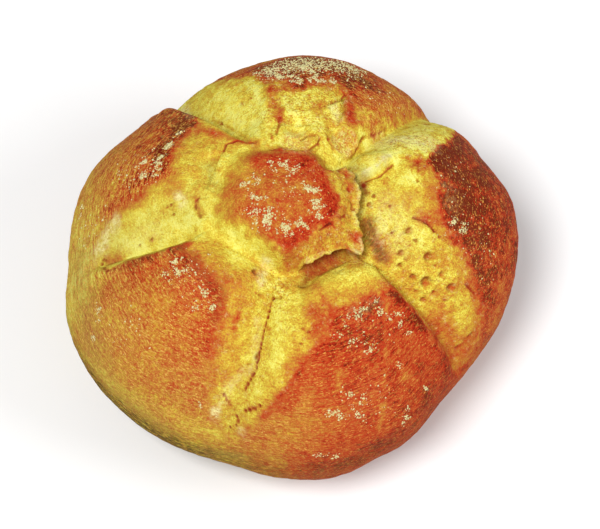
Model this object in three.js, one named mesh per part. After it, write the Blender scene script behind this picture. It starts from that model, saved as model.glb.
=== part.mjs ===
// A rosetta: a crusty wheat roll, one piece of bread. Its dough is stamped with a petal cutter, so that it
// bakes into a raised five-sided button ringed by five petals, with pale crumb torn open between them.
// Millimetres and degrees. +Z is up, the flat base lies on Z = 0 and the view from the front looks along +Y.
// Angles turn counterclockwise from +X, seen from above, and radii are measured in plan from the stamp's centre.
import * as THREE from "three";
import { mergeVertices } from "three/addons/utils/BufferGeometryUtils.js";

// The whole roll
const CROWN_HEIGHT = 62; // from the base to the top of the smooth dome
const BELT_HEIGHT = 25; // where the roll is widest
const UNDERSIDE_DROP = 34; // how far the lower half would reach below the belt, had it no flat base
const BASE_EASING = 3; // half height of the bend from the side into the flat base
const STAMP_CENTRE = new THREE.Vector2(-2.6, -3); // the crown's place, from the middle of the belt

// The belt's radius at the swollen corners of the petals and at the waists between them
const OUTLINE = [
  { angle: 14, radius: 52.3 },
  { angle: 46, radius: 48.4 },
  { angle: 84, radius: 51.5 },
  { angle: 124, radius: 47.3 },
  { angle: 166, radius: 51.4 },
  { angle: 193, radius: 52.4 },
  { angle: 212, radius: 53 },
  { angle: 252, radius: 50.4 },
  { angle: 278, radius: 51.5 },
  { angle: 318, radius: 46.5 },
];

// The button: a pentagon with rounded corners, measured from its centre square to its sides
const BUTTON = { sides: 5, cornerAngle: 56, top: 10.6, foot: 15, dome: 0.8 };
const CORNER_SHARPNESS = 9; // larger for sharper corners
const ROUNDING_RADIUS = 30; // where the rings have eased from the button's shape into the outline's
const RING_REACH = 50; // the belt's radius that rings as pentagons are counted from

// On one side the button has lifted and torn free: there it ends in an overhung rim instead of a bevel
const LIFTED = { middleAngle: -17, halfAngle: 64, fade: 14, droop: 0.4, cliff: 2.4 };
const LIFTED_RIM = [
  { angle: 287, radius: 15.6 },
  { angle: 313, radius: 15.6 },
  { angle: 331, radius: 19 },
  { angle: 352, radius: 17 },
  { angle: 30, radius: 17.4 },
];

// The petals. Each has an inner slope that climbs out of the moat round the button, which is this deep, to a
// crest at this distance from the centre
const PETALS = [
  { angle: 5, crest: 34, moat: 8.5 }, // right
  { angle: 84, crest: 34, moat: 6.5 }, // back
  { angle: 160, crest: 28.5, moat: 6.5 }, // left
  { angle: 226, crest: 23, moat: 6.5 }, // front left
  { angle: 292, crest: 26.5, moat: 7.5 }, // front right
];
const SLOPE_CURVE = 1.4; // over 1, so that the slopes swell like pillows
const PETAL_SWELL = 0.8; // how far a petal's middle stands above its sides
const SWELL_START = 18; // radius where the petals begin to swell
const SWELL_FULL = 34; // radius where they are at their fullest

// The grooves that part the petals, each between the petal of the same place in the list and the next.
// A valley runs outwards from the moat, and on each side the crust climbs to a petal within a width:
// a narrow side is a cliff under a petal's lip, a wide one a pillowed slope
const GROOVES = [
  { innerAngle: 43, outerAngle: 48, outer: 56, depth: 6.5, clockwise: 12, counter: 4 },
  { innerAngle: 113, outerAngle: 127, outer: 56, depth: 6.5, clockwise: 14, counter: 4 },
  { innerAngle: 189, outerAngle: 192, outer: 47, depth: 6, clockwise: 10, counter: 3.5 },
  { innerAngle: 264.5, outerAngle: 252, outer: 51, depth: 5.5, clockwise: 10, counter: 10 },
  { innerAngle: 329, outerAngle: 320, outer: 53, depth: 6.5, clockwise: 4, counter: 14 },
];
const GROOVE_INNER = 16; // radius where the valleys leave the moat, down the button's flank
const GROOVE_CURVE = 1.6; // over 1, as for the slopes
const GROOVE_TAPER = 2.2; // larger for a groove that keeps its depth for longer
const GROOVE_END_WIDTH = 0.25; // share of the width that is left where a groove runs out
const CLIFF_WIDTH = 5; // a side narrower than this carries a raised lip
const LIP = { rise: 1.1, width: 3 };
const MERGING = 5; // power that blends moat and grooves, larger for sharper meetings
const BELT_FADE = 0.25; // share of the dome's height over which the marks fade out towards the belt

// Bubbles that burst open on the back petal's inner slope
const HOLLOWS = [
  { x: 0.5, y: 18.5, across: 9.5, along: 7, depth: 1.8 },
  { x: 9.5, y: 18.5, across: 6, along: 8, depth: 1.4 },
];

// Slow unevenness of the dough: waves of this height, which run in these directions
const LUMP_HEIGHT = 0.16;
const LUMP_LENGTH = 5.5; // of a wave's slope, about a sixth of the wave
const LUMP_WAVES = [
  new THREE.Vector3(1, 0.7, 0),
  new THREE.Vector3(-0.8, 1.1, 0.6),
  new THREE.Vector3(0.5, -0.4, 1.2),
];

// The facets. Meridians follow the valleys, and crowd towards them; rings crowd where the moat is
const MERIDIANS_PER_PETAL = 20;
const MERIDIAN_CROWDING = 0.45; // 0 for evenly spaced meridians, under 1
const RING_STRETCHES = [
  { untilRadius: BUTTON.top, rings: 4 },
  { untilRadius: BUTTON.foot, rings: 5 },
  { untilRadius: 23, rings: 11 },
  { untilRadius: RING_REACH, rings: 20 },
];
const RINGS_BELOW_BELT = 12;
const MERGE_DISTANCE = 0.001; // corners nearer than this are one, at the seam and at both poles

const CRUST_COLOUR = 0xc47a32;
const CRUST_ROUGHNESS = 0.75;

const { clamp, lerp, degToRad, radToDeg, euclideanModulo } = THREE.MathUtils;
const ease = (share) => THREE.MathUtils.smoothstep(share, 0, 1);

// The signed turn from one angle to another, in degrees from -180 to 180
function turnBetween(from, to) {
  return euclideanModulo(to - from + 180, 360) - 180;
}

// A value given at some angles, eased between them all the way round
function aroundCircle(angle, stations, key) {
  for (let i = 0; i < stations.length; i++) {
    const here = stations[i];
    const next = stations[(i + 1) % stations.length];
    const span = euclideanModulo(next.angle - here.angle, 360);
    const along = euclideanModulo(angle - here.angle, 360);
    if (along < span) return lerp(here[key], next[key], ease(along / span));
  }
  return stations[0][key];
}

// How much of a plan distance in this direction counts square to the button's nearest side, up to 1
function pentagonShare(angle) {
  let sum = 0;
  for (let side = 0; side < BUTTON.sides; side++) {
    const facing = BUTTON.cornerAngle + ((side + 0.5) * 360) / BUTTON.sides;
    sum += Math.max(0, Math.cos(degToRad(angle - facing))) ** CORNER_SHARPNESS;
  }
  return sum ** (1 / CORNER_SHARPNESS);
}

// The direction of a groove's valley at a ring of this radius
function valleyAngle(groove, radius) {
  const along = clamp((radius - GROOVE_INNER) / (groove.outer - GROOVE_INNER), 0, 1);
  return lerp(groove.innerAngle, groove.outerAngle, along);
}

// Depth of the moat, whose far side is the petals' inner slopes
function moatDepth(angle, distance) {
  const crest = aroundCircle(angle, PETALS, "crest");
  const climb = clamp((distance - BUTTON.foot) / (crest - BUTTON.foot), 0, 1);
  return aroundCircle(angle, PETALS, "moat") * (1 - climb) ** SLOPE_CURVE;
}

// Depth of one groove, and the lip that its cliff raises on the petal above
function grooveMarks(groove, angle, radius) {
  const turn = turnBetween(valleyAngle(groove, radius), angle);
  if (Math.abs(turn) > 90) return { depth: 0, lip: 0 };
  const aside = radius * Math.sin(degToRad(turn));
  const along = clamp((radius - GROOVE_INNER) / (groove.outer - GROOVE_INNER), 0, 1);
  const fade = 1 - along ** GROOVE_TAPER;
  const side = aside > 0 ? groove.counter : groove.clockwise;
  const width = side * lerp(GROOVE_END_WIDTH, 1, Math.sqrt(fade));
  const depth = groove.depth * fade * (1 - clamp(Math.abs(aside) / width, 0, 1)) ** GROOVE_CURVE;
  const fromLip = (Math.abs(aside) - width) / LIP.width;
  const lip = side < CLIFF_WIDTH ? LIP.rise * fade * ease(2 * along) * Math.exp(-fromLip * fromLip) : 0;
  return { depth, lip };
}

// Share of the way down the button's side, from its top at 0 to the bottom of the moat at 1
function flankShare(angle, radius, distance) {
  const bevel = ease((distance - BUTTON.top) / (BUTTON.foot - BUTTON.top));
  const lifted = ease((LIFTED.halfAngle - Math.abs(turnBetween(LIFTED.middleAngle, angle))) / LIFTED.fade);
  const rim = aroundCircle(angle, LIFTED_RIM, "radius");
  const shoulder = LIFTED.droop * ease((radius - BUTTON.top) / (rim - BUTTON.top));
  const cliff = (1 - LIFTED.droop) * ease((radius - rim) / LIFTED.cliff);
  return lerp(bevel, shoulder + cliff, lifted);
}

function hollowDepth(x, y) {
  const dips = HOLLOWS.map((hollow) => {
    const share = Math.hypot((x - hollow.x) / hollow.across, (y - hollow.y) / hollow.along) * 2;
    return hollow.depth * (1 - ease(share));
  });
  return Math.max(...dips);
}

function lumpRise(point) {
  return LUMP_WAVES.reduce((sum, wave) => sum + LUMP_HEIGHT * Math.sin(wave.dot(point) / LUMP_LENGTH), 0);
}

// How far the stamped crust stands above the smooth dome. The place is a point of the dome, its angle and
// plan radius from the stamp's centre, and how far it lies from one valley, at 0, to the next, at 1
function stampedRise(point, angle, radius, acrossPetal) {
  const distance = radius * pentagonShare(angle);
  const grooves = GROOVES.map((groove) => grooveMarks(groove, angle, radius));
  const depths = [moatDepth(angle, distance), ...grooves.map((groove) => groove.depth)];
  const merged = depths.reduce((sum, depth) => sum + depth ** MERGING, 0) ** (1 / MERGING);
  const lip = Math.max(...grooves.map((groove) => groove.lip));
  const dome = BUTTON.dome * (1 - ease(radius / BUTTON.top));
  const swell = ease((radius - SWELL_START) / (SWELL_FULL - SWELL_START)) * Math.sin(Math.PI * acrossPetal) ** 2;
  const cut = flankShare(angle, radius, distance) * merged + hollowDepth(point.x, point.y);
  return dome + lip + PETAL_SWELL * swell - cut;
}

// Flattens what lies below the base's plane, with an even bend just above it
function flattenBase(height) {
  if (height > BASE_EASING) return height;
  return height < -BASE_EASING ? 0 : (height + BASE_EASING) ** 2 / (4 * BASE_EASING);
}

// The crust's point on a meridian, counted in petals round the roll, and a ring, in degrees down from the crown
function crustPoint(meridian, degreesDown) {
  const down = degToRad(degreesDown);
  const petal = Math.floor(meridian) % GROOVES.length;
  const acrossPetal = meridian - Math.floor(meridian);
  const ringRadius = RING_REACH * Math.sin(down);
  const valleyRadius = degreesDown < 90 ? ringRadius : RING_REACH;
  const start = valleyAngle(GROOVES[petal], valleyRadius);
  const end = valleyAngle(GROOVES[(petal + 1) % GROOVES.length], valleyRadius);
  const crowded = acrossPetal - (MERIDIAN_CROWDING / (2 * Math.PI)) * Math.sin(2 * Math.PI * acrossPetal);
  const angle = start + euclideanModulo(end - start, 360) * crowded;

  const belt = aroundCircle(angle, OUTLINE, "radius");
  const rounding = ease((valleyRadius - BUTTON.foot) / (ROUNDING_RADIUS - BUTTON.foot));
  const radius = lerp(ringRadius / pentagonShare(angle), belt * Math.sin(down), rounding);
  const level = Math.sqrt(Math.max(0, 1 - (radius / belt) ** 2)) * Math.sign(90 - degreesDown);
  const drift = Math.max(0, level) ** 2;
  const rise = level > 0 ? CROWN_HEIGHT - BELT_HEIGHT : UNDERSIDE_DROP;
  const outward = new THREE.Vector3(Math.cos(degToRad(angle)), Math.sin(degToRad(angle)), 0);
  const point = outward.clone().multiplyScalar(radius);
  point.add(new THREE.Vector3(STAMP_CENTRE.x * drift, STAMP_CENTRE.y * drift, rise * level));

  const normal = outward.multiplyScalar(radius / belt ** 2).setZ(level / rise).normalize();
  const fade = ease(level / BELT_FADE);
  const marked = fade > 0 ? fade * stampedRise(point, angle, radius, crowded) : 0;
  point.addScaledVector(normal, marked + lumpRise(point));
  return point.setZ(flattenBase(point.z + BELT_HEIGHT));
}

// Degrees down from the crown of each ring, the crown itself first
function ringStations() {
  const stations = [0];
  const addStretch = (untilDown, rings) => {
    const start = stations.at(-1);
    for (let ring = 1; ring <= rings; ring++) stations.push(lerp(start, untilDown, ring / rings));
  };
  for (const stretch of RING_STRETCHES) {
    addStretch(radToDeg(Math.asin(stretch.untilRadius / RING_REACH)), stretch.rings);
  }
  addStretch(180, RINGS_BELOW_BELT);
  return stations;
}

// The solid: a sphere's meridians and rings, moved out to the crust, with its origin under its middle
function makeRollGeometry() {
  const rings = ringStations();
  const meridians = GROOVES.length * MERIDIANS_PER_PETAL;
  const sphere = new THREE.SphereGeometry(1, meridians, rings.length - 1);
  const corners = sphere.getAttribute("position");
  for (let i = 0; i < corners.count; i++) {
    const meridian = (i % (meridians + 1)) / MERIDIANS_PER_PETAL;
    const ring = Math.floor(i / (meridians + 1));
    const point = crustPoint(meridian, rings[ring]);
    corners.setXYZ(i, point.x, point.y, point.z);
  }
  sphere.deleteAttribute("normal");
  sphere.deleteAttribute("uv");
  const geometry = mergeVertices(sphere, MERGE_DISTANCE);
  geometry.computeBoundingBox();
  const middle = geometry.boundingBox.getCenter(new THREE.Vector3());
  geometry.translate(-middle.x, -middle.y, 0);
  geometry.computeVertexNormals();
  return geometry;
}

const crust = new THREE.MeshStandardMaterial({ color: CRUST_COLOUR, roughness: CRUST_ROUGHNESS, metalness: 0 });
const roll = new THREE.Mesh(makeRollGeometry(), crust);
roll.name = "roll";

const rosetta = new THREE.Group();
rosetta.add(roll);

export default rosetta;
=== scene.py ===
"""The looks of a rosetta roll: its baked crust, its torn crumb and the flour dusted on it.

Sizes are millimetres and angles degrees until a mesh is made, which is in metres, in the part's own frame.
Angles turn counterclockwise from +X, seen from above, and radii are measured in plan from the stamp's centre.
"""
import math
from types import SimpleNamespace

import bpy
import numpy as np
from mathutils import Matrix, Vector, noise


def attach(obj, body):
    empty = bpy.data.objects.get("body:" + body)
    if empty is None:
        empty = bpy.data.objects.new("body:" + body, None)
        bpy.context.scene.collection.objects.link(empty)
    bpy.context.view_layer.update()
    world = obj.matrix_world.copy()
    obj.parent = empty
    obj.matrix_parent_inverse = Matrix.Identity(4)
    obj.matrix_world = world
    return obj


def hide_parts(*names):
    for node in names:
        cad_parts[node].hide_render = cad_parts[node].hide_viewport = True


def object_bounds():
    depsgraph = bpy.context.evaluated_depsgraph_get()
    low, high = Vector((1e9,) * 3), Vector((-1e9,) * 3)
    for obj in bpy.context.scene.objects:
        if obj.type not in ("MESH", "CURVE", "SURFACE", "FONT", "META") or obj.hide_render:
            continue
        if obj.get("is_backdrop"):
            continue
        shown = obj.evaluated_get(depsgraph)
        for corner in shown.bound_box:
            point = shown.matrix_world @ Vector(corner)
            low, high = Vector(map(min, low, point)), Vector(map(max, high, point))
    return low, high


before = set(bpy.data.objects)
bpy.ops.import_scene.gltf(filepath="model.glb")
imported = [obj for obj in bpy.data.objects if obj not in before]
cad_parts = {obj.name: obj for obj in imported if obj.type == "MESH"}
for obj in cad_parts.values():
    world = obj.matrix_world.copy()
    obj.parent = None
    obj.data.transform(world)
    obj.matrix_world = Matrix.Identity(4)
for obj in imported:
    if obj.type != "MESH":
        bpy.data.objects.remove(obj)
cad_low, cad_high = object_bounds()

MM = 0.001

# The stamped form. Most sizes are the part's own, and a few follow the photograph more closely

CROWN_HEIGHT = 62
BELT_HEIGHT = 25
UNDERSIDE_DROP = 34
BASE_EASING = 3
STAMP_CENTRE = (-2.6, -3)
FORM_MIDDLE = (-0.16, 0.02)  # middle of the form's box, which the part's origin lies under
OUTLINE = {
    14: 52.3, 32: 50.9, 46: 48.4, 58: 49.9, 84: 51.5, 124: 47.3, 166: 51.4, 181: 51.2, 198: 53.3, 212: 53,
    252: 50.4, 278: 51.5, 298: 50.2, 318: 46.8,
}
BUTTON_SIDES = 5
BUTTON_CORNER = 56
BUTTON_TOP = 10.6
BEVEL_STARTS = {20: 10.6, 84: 10, 110: 9.8, 150: 9, 190: 7.8, 230: 8, 262: 9.5, 300: 10.6}
BUTTON_FOOT = 15
BUTTON_DOME = 0.8
CORNER_SHARPNESS = 9
ROUNDING_RADIUS = 30
RING_REACH = 50

LIFTED_MIDDLE = -17
LIFTED_HALF = 64
LIFTED_FADE = 14
LIFTED_DROOP = 0.4
LIFTED_CLIFF = 2
LIFTED_RIM = {287: 15.6, 313: 15.6, 321: 17.5, 326: 21.5, 332: 20, 352: 17, 390: 17.4}
RIM_RAGGEDNESS = [(2.2, 0.9), (5, 0.7), (0.9, 0.3)]  # length of the rags and how far they stand out

CRESTS = {5: 34, 84: 34, 160: 28.5, 226: 23, 292: 26.5}
MOATS = {5: 8.5, 84: 2.2, 160: 1.5, 226: 5, 292: 7.5}
SLOPE_CURVE = 1.4
PETAL_SWELL = 0.8
SWELL_START = 18
SWELL_FULL = 34


def groove(inner_angle, outer_angle, outer, depth, clockwise, counter, start_share):
    """Angles of a groove's valley at the moat and at its end, the end's radius, the depth, the widths of its
    two slopes, by the side of the valley, and the share of the depth that it has at the moat."""
    return SimpleNamespace(**locals())


GROOVES = [
    groove(43, 48, 51, 6.5, 12, 7, 1),
    groove(114, 140, 56, 6, 14, 4, 0.25),
    groove(200, 193.5, 47, 6, 12.5, 3.5, 0.4),
    groove(264.5, 252, 51, 5.5, 10, 10, 1),
    groove(329, 320, 53, 6.5, 4, 14, 1),
]
GROOVE_INNER = 16
GROOVE_FULL = 0.3  # share of its length where a groove has its full depth
GROOVE_CURVE = 1.6
GROOVE_TAPER = 2.2
GROOVE_END_WIDTH = 0.25
CLIFF_WIDTH = 5  # a slope narrower than this is a cliff, with a lip
LIP_RISE = 1.1
LIP_WIDTH = 3
LIP_FULL = 0.5  # share of a groove's length where its lip has its full height
MERGING = 5
BELT_FADE = 0.25

HOLLOWS = [(0.5, 18.5, 9.5, 7, 1.8), (9.5, 18.5, 6, 8, 1.4)]  # x, y, across, along, depth
LUMP_HEIGHT = 0.16
LUMP_LENGTH = 5.5
LUMP_WAVES = np.array([(1, 0.7, 0), (-0.8, 1.1, 0.6), (0.5, -0.4, 1.2)])

# The mesh: degrees down from the crown at the end of each stretch of rings, its rings, and the points
# of each ring that one petal has
RING_STRETCHES = [
    (10, 14, 60), (17, 18, 120), (26, 32, 120), (53, 46, 120), (90, 40, 120), (137, 34, 60), (178, 10, 60),
]
POINT_CROWDING = 0.2  # towards the valleys

DRAW_SHIFT = (17.3, -9.1, 5.7)  # between the places that two draws of noise are taken from


def ease(share):
    share = np.clip(share, 0, 1)
    return share * share * (3 - 2 * share)


def ease_between(value, start, end):
    """An eased share: 0 up to the start and 1 from the end on."""
    return ease((value - start) / (end - start))


def soft_edge(inside, softness):
    """Share of what lies inside an edge, by the distance inside it: a half on the edge itself."""
    return ease(inside / softness + 0.5)


def lerp(start, end, share):
    return start + (end - start) * share


def bump(value, middle, width):
    """1 where the value is at the middle, easing to almost nothing a few widths away."""
    return np.exp(-(((value - middle) / width) ** 2))


def patchy(values, level, contrast):
    """Eased shares of where values are high, such as those of noise."""
    return ease(level + contrast * values)


def noise_at(points, length, draw):
    """Smooth noise, about -1 to 1, with waves of about this length. Each draw is another pattern."""
    shift = Vector([draw * step for step in DRAW_SHIFT])
    return np.array([noise.noise(Vector(point) + shift) for point in (points / length).tolist()])


def around_circle(angle, stations):
    """A value given at some angles, eased between them all the way round."""
    angles = list(stations)
    edges = np.array(angles + [angles[0] + 360], float)
    values = np.array([stations[place] for place in angles + angles[:1]], float)
    unrolled = edges[0] + np.mod(angle - edges[0], 360)
    index = np.clip(np.searchsorted(edges, unrolled, side="right") - 1, 0, len(stations) - 1)
    share = (unrolled - edges[index]) / (edges[index + 1] - edges[index])
    return lerp(values[index], values[index + 1], ease(share))


def turn_between(start, end):
    return np.mod(end - start + 180, 360) - 180


def circle_points(angle, radius):
    angle = np.radians(angle)
    return np.stack([radius * np.cos(angle), radius * np.sin(angle), np.zeros_like(angle)], 1)


def pentagon_share(angle):
    total = np.zeros_like(angle)
    for side in range(BUTTON_SIDES):
        facing = BUTTON_CORNER + (side + 0.5) * 360 / BUTTON_SIDES
        total += np.maximum(0, np.cos(np.radians(angle - facing))) ** CORNER_SHARPNESS
    return total ** (1 / CORNER_SHARPNESS)


def groove_share(end, radius):
    """How far a radius lies along a groove with this end, from the moat at 0 to the end at 1."""
    return np.clip((radius - GROOVE_INNER) / (end - GROOVE_INNER), 0, 1)


def valley_angle(mark, radius):
    return lerp(mark.inner_angle, mark.outer_angle, groove_share(mark.outer, radius))


def beside_valley(mark, place):
    """Each point's distance from a groove's valley, above 0 counterclockwise of it, and whether the point is
    on the groove's half of the roll."""
    turn = turn_between(valley_angle(mark, place.radius), place.angle)
    return place.radius * np.sin(np.radians(turn)), np.abs(turn) < 90


def groove_width(mark, aside, along):
    """Width of the slope on the side of a groove's valley that a point lies on."""
    side = np.where(aside > 0, mark.counter, mark.clockwise)
    return side * lerp(GROOVE_END_WIDTH, 1, np.sqrt(1 - along**GROOVE_TAPER))


def make_places(meridian, down):
    """Places on the smooth dome. The meridian is counted in petals and down in degrees from the crown."""
    petal = np.floor(meridian).astype(int) % len(GROOVES)
    across = meridian - np.floor(meridian)
    across = across - POINT_CROWDING / (2 * np.pi) * np.sin(2 * np.pi * across)
    ring_radius = RING_REACH * np.sin(np.radians(down))
    valley_radius = np.where(down < 90, ring_radius, RING_REACH)
    valleys = np.array([valley_angle(mark, valley_radius) for mark in GROOVES])
    every = np.arange(meridian.size)
    start = valleys[petal, every]
    end = valleys[(petal + 1) % len(GROOVES), every]
    angle = start + np.mod(end - start, 360) * across

    belt = around_circle(angle, OUTLINE)
    rounding = ease_between(valley_radius, BUTTON_FOOT, ROUNDING_RADIUS)
    radius = lerp(ring_radius / pentagon_share(angle), belt * np.sin(np.radians(down)), rounding)
    level = np.sqrt(np.maximum(0, 1 - (radius / belt) ** 2)) * np.sign(90 - down)
    rise = np.where(level > 0, CROWN_HEIGHT - BELT_HEIGHT, UNDERSIDE_DROP)
    drift = np.maximum(0, level) ** 2
    point = circle_points(angle, radius)
    point += np.stack([STAMP_CENTRE[0] * drift, STAMP_CENTRE[1] * drift, rise * level], 1)
    normal = circle_points(angle, radius / belt**2)
    normal[:, 2] = level / rise
    normal /= np.linalg.norm(normal, axis=1, keepdims=True)
    return SimpleNamespace(
        angle=angle, across=across, radius=radius, belt=belt, level=level, point=point, normal=normal,
        distance=radius * pentagon_share(angle), down=down,
    )


def rim_radius(place):
    """Where the lifted side of the button ends, with its rags."""
    rim = around_circle(place.angle, LIFTED_RIM)
    for draw, (length, reach) in enumerate(RIM_RAGGEDNESS):
        rim = rim + reach * noise_at(circle_points(place.angle, rim), length, draw)
    return rim


def lifted_share(place):
    turn = np.abs(turn_between(LIFTED_MIDDLE, place.angle))
    return ease((LIFTED_HALF - turn) / LIFTED_FADE)


def flank_share(place):
    """Share of the way down the button's side, from its top at 0 to the bottom of the moat at 1."""
    bevel = ease_between(place.distance, around_circle(place.angle, BEVEL_STARTS), BUTTON_FOOT)
    rim = rim_radius(place)
    shoulder = LIFTED_DROOP * ease_between(place.radius, BUTTON_TOP, rim)
    cliff = (1 - LIFTED_DROOP) * ease((place.radius - rim) / LIFTED_CLIFF)
    return lerp(bevel, shoulder + cliff, lifted_share(place))


def groove_relief(mark, place):
    """Depth of a groove, and rise of the lips above its cliffs."""
    aside, near = beside_valley(mark, place)
    along = groove_share(mark.outer, place.radius)
    fade = 1 - along**GROOVE_TAPER
    width = groove_width(mark, aside, along)
    full = lerp(mark.start_share, 1, ease(along / GROOVE_FULL))
    depth = mark.depth * full * fade * (1 - np.clip(np.abs(aside) / width, 0, 1)) ** GROOVE_CURVE
    lip = LIP_RISE * fade * ease(along / LIP_FULL) * bump(np.abs(aside), width, LIP_WIDTH)
    cliffed = np.where(aside > 0, mark.counter, mark.clockwise) < CLIFF_WIDTH
    return np.where(near, depth, 0), np.where(near & cliffed, lip, 0)


def hollow_depth(place):
    """Depth of the two bubbles that burst on the inner slope of the back petal."""
    deepest = np.zeros_like(place.radius)
    for x, y, across, along, depth in HOLLOWS:
        share = 2 * np.hypot((place.point[:, 0] - x) / across, (place.point[:, 1] - y) / along)
        deepest = np.maximum(deepest, depth * (1 - ease(share)))
    return deepest


def stamped_rise(place):
    """How far the stamped crust stands above the smooth dome."""
    crest = around_circle(place.angle, CRESTS)
    climb = np.clip((place.distance - BUTTON_FOOT) / (crest - BUTTON_FOOT), 0, 1)
    merged = (around_circle(place.angle, MOATS) * (1 - climb) ** SLOPE_CURVE) ** MERGING
    lips = np.zeros_like(crest)
    for mark in GROOVES:
        depth, lip = groove_relief(mark, place)
        merged += depth**MERGING
        lips = np.maximum(lips, lip)
    dome = BUTTON_DOME * (1 - ease(place.radius / BUTTON_TOP))
    grown = ease_between(place.radius, SWELL_START, SWELL_FULL)
    swell = PETAL_SWELL * grown * np.sin(np.pi * place.across) ** 2
    return dome + lips + swell - flank_share(place) * merged ** (1 / MERGING) - hollow_depth(place)


def crust_points(place):
    """Points of the stamped crust in the part's frame."""
    lumps = LUMP_HEIGHT * np.sin(place.point @ LUMP_WAVES.T / LUMP_LENGTH).sum(1)
    rise = ease(place.level / BELT_FADE) * stamped_rise(place) + lumps
    point = place.point + place.normal * rise[:, None]
    height = point[:, 2] + BELT_HEIGHT
    bend = np.clip(height + BASE_EASING, 0, 2 * BASE_EASING) ** 2 / (4 * BASE_EASING)
    point[:, 2] = np.where(height > BASE_EASING, height, bend)
    point[:, :2] -= FORM_MIDDLE
    return point


def make_grid():
    """Meridian and degrees down of every point, and the faces between them, from the crown to the base."""
    meridians = [np.zeros(1)]
    downs = [np.zeros(1)]
    faces = []
    start = 0.0
    for end, rings, per_petal in RING_STRETCHES:
        for ring in range(1, rings + 1):
            count = per_petal * len(GROOVES)
            meridians.append(np.arange(count) / per_petal)
            downs.append(np.full(count, lerp(start, end, ring / rings)))
        start = end
    meridians.append(np.zeros(1))
    downs.append(np.full(1, 180.0))
    first = 0
    for upper, lower in zip(meridians, meridians[1:]):
        faces += faces_between(first, upper.size, first + upper.size, lower.size)
        first += upper.size
    return np.concatenate(meridians), np.concatenate(downs), faces


def faces_between(upper, upper_count, lower, lower_count):
    """Faces between two rings whose point counts are equal, or double or half each other, or one."""
    faces = []
    for step in range(max(upper_count, lower_count)):
        if upper_count == lower_count:
            after = (step + 1) % upper_count
            faces.append((upper + step, lower + step, lower + after, upper + after))
        elif upper_count == 1:
            faces.append((upper, lower + step, lower + (step + 1) % lower_count))
        elif lower_count == 1:
            faces.append((upper + (step + 1) % upper_count, upper + step, lower))
        elif lower_count > upper_count:
            near = upper + (step + 1) // 2 % upper_count
            faces.append((near, lower + step, lower + (step + 1) % lower_count))
            if step % 2:
                faces.append((upper + step // 2, lower + step, near))
        else:
            near = lower + (step + 1) // 2 % lower_count
            faces.append((upper + (step + 1) % upper_count, upper + step, near))
            if step % 2:
                faces.append((upper + step, lower + step // 2, near))
    return faces


def point_normals(points, faces):
    """Each point's mean of the normals of the faces that meet there."""
    ends = np.array([(*face[:3], face[-1]) for face in faces])
    first, second, third = (points[ends[:, corner]] for corner in range(3))
    face_normals = np.cross(second - first, third - first)
    normals = np.zeros_like(points)
    for column in ends.T:
        np.add.at(normals, column, face_normals)
    return normals / np.linalg.norm(normals, axis=1, keepdims=True)


# The photograph's camera, whose frame the small marks below are placed in

FRAME_WIDTH = 600
FRAME_HEIGHT = 529
CAMERA_ELEVATION = 62
CAMERA_DISTANCE = 620
CAMERA_TARGET = np.array([1.6 - FORM_MIDDLE[0], -FORM_MIDDLE[1], 25])
FOCAL_PIXELS = 2697
VIEW_BACK = np.array([0, -math.cos(math.radians(CAMERA_ELEVATION)), math.sin(math.radians(CAMERA_ELEVATION))])
VIEW_RIGHT = np.array([1.0, 0, 0])
VIEW_UP = np.cross(VIEW_BACK, VIEW_RIGHT)
CAMERA_PLACE = CAMERA_TARGET + CAMERA_DISTANCE * VIEW_BACK


def seen_at(points):
    """Pixels of the photograph where points show, and their depths from the camera."""
    offset = points - CAMERA_PLACE
    depth = -offset @ VIEW_BACK
    x = FRAME_WIDTH / 2 + FOCAL_PIXELS * (offset @ VIEW_RIGHT) / depth
    y = FRAME_HEIGHT / 2 - FOCAL_PIXELS * (offset @ VIEW_UP) / depth
    return np.stack([x, y], 1), depth


# How much steps round the roll and steps outwards count, in the places for noise whose streaks run one way
STREAK_WAYS = {"around": (0.5, 1), "outward": (1, 0.4), "combed": (0.14, 1)}
# The second of these fields is partly painted shade, and the third and the fifth are painted shade.
FIELDS = ("brown", "dull", "shady", "dry", "crack", "speckle", "torn", "rough", "comb", "fleck")
MARK_WANDER = 0.35  # how much the edges of the small marks wander, as a share of their reach


def streak_points(place, around_share, outward_share):
    points = circle_points(place.angle, around_share * place.radius)
    points[:, 2] = outward_share * RING_REACH * np.radians(place.down)
    return points


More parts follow.
